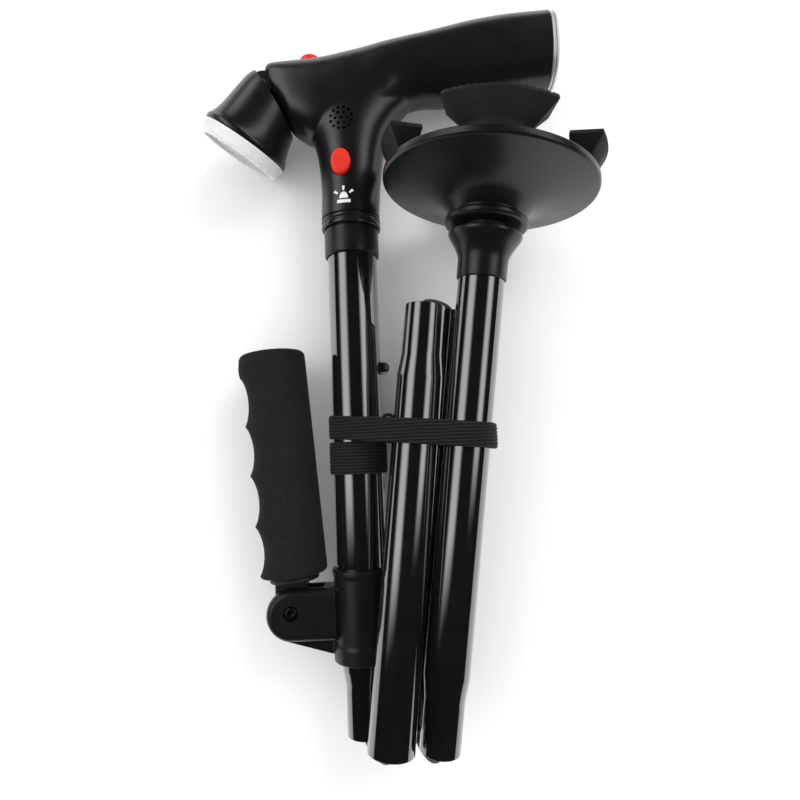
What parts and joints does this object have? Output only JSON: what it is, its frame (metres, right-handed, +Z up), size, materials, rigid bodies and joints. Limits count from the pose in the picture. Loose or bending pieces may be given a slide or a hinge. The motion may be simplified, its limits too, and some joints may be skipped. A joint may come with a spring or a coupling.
{
  "type": "folding walking stick",
  "caption": "Folding walking stick with a lamp and alarm T-handle, a folding foam side grip, sprung height lock, shock-corded tube sections and a swivelling round base with rubber feet.",
  "frame": {"origin": "on the flat lower face of the side grip's bracket, 12.1 mm from the upper tube's axis on the side grip's side", "axes": "+Z up the upper tube towards the handle, +X the way the handle's grip points, -Y the side with the alarm button"},
  "size_m": [0.1727, 0.0936, 0.3256],
  "materials": {
    "board_green": "solder resist",
    "cell_jacket": "printed film",
    "chrome": "polished",
    "clear_plastic": "clear",
    "cord_grey": "braided",
    "foam_black": "closed-cell foam",
    "gloss_black": "gloss lacquer on tube",
    "led_yellow": "phosphor",
    "matte_black": "satin moulding",
    "red_plastic": "semi-gloss",
    "rubber_black": "matt rubber",
    "silver_plastic": "satin",
    "steel": "plain",
    "webbing_black": "elastic webbing"
  },
  "bodies": {
    "handle": {"alarm_switch": "matte_black", "battery_cell_1": "cell_jacket", "battery_cell_2": "cell_jacket", "battery_cell_3": "cell_jacket", "battery_tray": "matte_black", "bracket": "matte_black", "buzzer": "matte_black", "collar_sleeve": "matte_black", "control_board": "board_green", "end_frame": "silver_plastic", "handle_back": "matte_black", "handle_front": "matte_black", "lamp_knuckle": "matte_black", "lamp_pin": "steel", "light_switch": "matte_black", "lip_ring": "gloss_black", "main_chip": "matte_black", "pivot_screw": "steel", "pivot_washer": "steel", "speaker_grille": "matte_black", "strap_band": "webbing_black", "strap_keeper": "webbing_black", "upper_tube": "gloss_black"},
    "second": {"second_tube": "gloss_black"},
    "third": {"third_tube": "gloss_black"},
    "fourth": {"fourth_tube": "gloss_black", "boot_ferrule": "rubber_black", "swivel_ball": "steel"},
    "extension": {"inner_tube": "gloss_black", "snap_spring": "steel"},
    "snap_pin": {"snap_button": "chrome"},
    "joint_1": {"cord_guide_1": "matte_black", "elastic_cord_1": "cord_grey"},
    "joint_2": {"cord_guide_2": "matte_black", "elastic_cord_2": "cord_grey"},
    "joint_3": {"cord_guide_3": "matte_black", "elastic_cord_3": "cord_grey"},
    "liner": {"ball_liner": "matte_black"},
    "base": {"base_disc": "matte_black", "base_cap": "rubber_black", "foot_pad_right": "rubber_black", "foot_pad_far": "rubber_black", "foot_pad_left": "rubber_black", "foot_pad_near": "rubber_black"},
    "lamp": {"lamp_housing": "matte_black", "lamp_bezel": "clear_plastic", "lamp_lens": "clear_plastic", "lamp_reflector": "chrome", "led_board": "board_green", "led_chip": "led_yellow"},
    "side_grip": {"grip_core": "matte_black", "foam_grip": "foam_black"},
    "light_key": {"light_button": "red_plastic"},
    "alarm_key": {"alarm_button": "red_plastic"},
    "door": {"battery_door": "silver_plastic", "door_latch": "matte_black"}
  },
  "joints": [
    {"name": "height_adjust", "type": "slide", "parent": "handle", "child": "extension", "axis": [0, 0, -1], "range_m": [0, 0.075], "deforming": ["snap_button", "snap_spring"]},
    {"name": "snap_press", "type": "slide", "parent": "extension", "child": "snap_pin", "axis": [-1, 0, 0], "range_m": [0, 0.003], "stiffness_N_per_m": 400, "deforming": ["snap_spring"]},
    {"name": "fold_1", "type": "hinge", "parent": "extension", "child": "joint_1", "pos_m": [0.01725, -0.00947, -0.03107], "axis": [0.8812, 0.4695, -0.0553], "range_deg": [0, 177.59], "deforming": ["elastic_cord_1", "strap_band"]},
    {"name": "insert_1", "type": "slide", "parent": "joint_1", "child": "second", "axis": [-0.1171, -0.0149, -0.993], "range_m": [0, 0.022], "deforming": ["elastic_cord_1"]},
    {"name": "fold_2", "type": "hinge", "parent": "second", "child": "joint_2", "pos_m": [0.04903, -0.00751, 0.14871], "axis": [0.8399, -0.5327, -0.1045], "range_deg": [0, 177.97], "deforming": ["elastic_cord_2"]},
    {"name": "insert_2", "type": "slide", "parent": "joint_2", "child": "third", "axis": [0.121, -0.0292, 0.9922], "range_m": [0, 0.022], "deforming": ["elastic_cord_2"]},
    {"name": "fold_3", "type": "hinge", "parent": "third", "child": "joint_3", "pos_m": [0.03725, -0.00322, -0.03172], "axis": [0.8997, 0.4264, -0.0939], "range_deg": [0, 178.16], "deforming": ["elastic_cord_3"]},
    {"name": "insert_3", "type": "slide", "parent": "joint_3", "child": "fourth", "axis": [-0.1286, 0.0609, -0.9898], "range_m": [0, 0.022], "deforming": ["elastic_cord_3"]},
    {"name": "base_tilt_side", "type": "hinge", "parent": "fourth", "child": "liner", "pos_m": [0.06917, -0.02597, 0.17811], "axis": [0, 0.9981, 0.0615], "range_deg": [-7, 7]},
    {"name": "base_tilt_front", "type": "hinge", "parent": "liner", "child": "base", "pos_m": [0.06917, -0.02597, 0.17811], "axis": [0.9917, 0.0079, -0.1284], "range_deg": [-7, 7]},
    {"name": "lamp_tilt", "type": "hinge", "parent": "handle", "child": "lamp", "pos_m": [-0.0248, 0, 0.2543], "axis": [0, 1, 0], "range_deg": [0, 32]},
    {"name": "side_grip_open", "type": "hinge", "parent": "handle", "child": "side_grip", "pos_m": [-0.0177, 0, 0.0216], "axis": [0, -1, 0], "range_deg": [0, 85]},
    {"name": "light_press", "type": "slide", "parent": "handle", "child": "light_key", "axis": [0, 0, -1], "range_m": [0, 0.001], "stiffness_N_per_m": 200},
    {"name": "alarm_press", "type": "slide", "parent": "handle", "child": "alarm_key", "axis": [0, 1, 0], "range_m": [0, 0.001], "stiffness_N_per_m": 200},
    {"name": "battery_door_open", "type": "hinge", "parent": "handle", "child": "door", "pos_m": [0.1071, 0, 0.2509], "axis": [0, 1, 0], "range_deg": [0, 110]}
  ],
  "couplings": [
    {"joint": "fold_2", "follows": "fold_1", "ratio": 1.0021},
    {"joint": "fold_3", "follows": "fold_1", "ratio": 1.0032}
  ]
}
